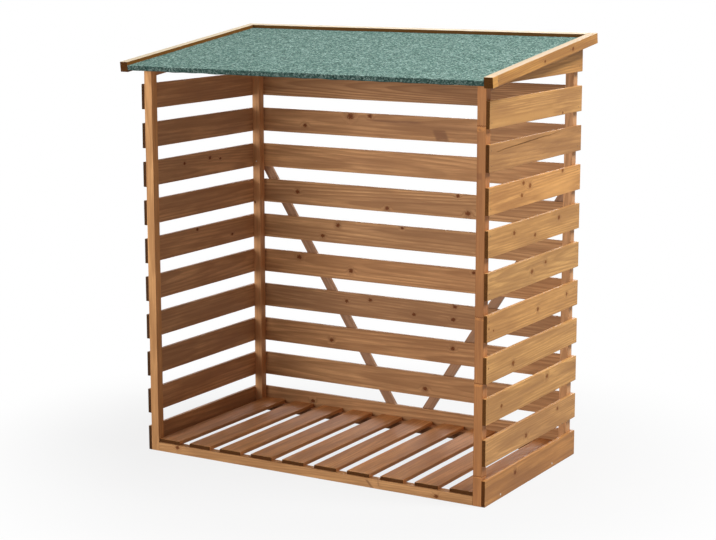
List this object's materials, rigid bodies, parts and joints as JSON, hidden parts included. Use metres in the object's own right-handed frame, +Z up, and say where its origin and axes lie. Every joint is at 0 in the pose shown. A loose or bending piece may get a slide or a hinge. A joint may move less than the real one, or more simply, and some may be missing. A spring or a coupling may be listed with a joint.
{
  "type": "open-fronted slatted log store",
  "caption": "Free-standing log store: spaced timber slats on three sides, open front, boarded floor and a low felted roof that falls to the front.",
  "frame": {"origin": "middle of the overall footprint on the ground, under the roof's outline", "axes": "+Z up, the open front faces -Y, +X to the right when the store is seen from the front"},
  "size_m": [1.134, 0.6482, 1.1859],
  "materials": {
    "posts": "dip-stained softwood, sawn faces, satin",
    "side_slats": "dip-stained softwood, planed, satin",
    "back_slats": "dip-stained softwood, planed, satin",
    "braces": "dip-stained softwood, sawn, matt",
    "bearers": "dip-stained softwood, sawn, matt",
    "floor_boards": "dip-stained softwood, darker, matt",
    "rafters": "dip-stained softwood, sawn, matt",
    "roof_board": "thin softwood sheet, matt",
    "roof_felt": "green mineral granules on bitumen felt, matt and rough",
    "roof_battens": "dip-stained softwood, planed, satin",
    "fasteners": "plain steel pins and screws, slightly dulled, only in the visual model"
  },
  "bodies": {
    "root": {"front_left_post": "posts", "front_right_post": "posts", "back_left_post": "posts", "back_right_post": "posts", "left_slat_1": "side_slats", "left_slat_2": "side_slats", "left_slat_3": "side_slats", "left_slat_4": "side_slats", "left_slat_5": "side_slats", "left_slat_6": "side_slats", "left_slat_7": "side_slats", "left_slat_8": "side_slats", "left_slat_9": "side_slats", "left_slat_10": "side_slats", "left_slat_11": "side_slats", "right_slat_1": "side_slats", "right_slat_2": "side_slats", "right_slat_3": "side_slats", "right_slat_4": "side_slats", "right_slat_5": "side_slats", "right_slat_6": "side_slats", "right_slat_7": "side_slats", "right_slat_8": "side_slats", "right_slat_9": "side_slats", "right_slat_10": "side_slats", "right_slat_11": "side_slats", "back_slat_1": "back_slats", "back_slat_2": "back_slats", "back_slat_3": "back_slats", "back_slat_4": "back_slats", "back_slat_5": "back_slats", "back_slat_6": "back_slats", "back_slat_7": "back_slats", "back_slat_8": "back_slats", "back_slat_9": "back_slats", "back_slat_10": "back_slats", "back_slat_11": "back_slats", "left_brace": "braces", "right_brace": "braces", "front_bearer": "bearers", "back_bearer": "bearers", "left_bearer": "bearers", "right_bearer": "bearers", "floor_boards": "floor_boards", "left_rafter": "rafters", "right_rafter": "rafters", "roof_board": "roof_board", "roof_felt": "roof_felt", "left_verge": "roof_battens", "right_verge": "roof_battens", "rear_trim": "roof_battens"}
  },
  "joints": []
}
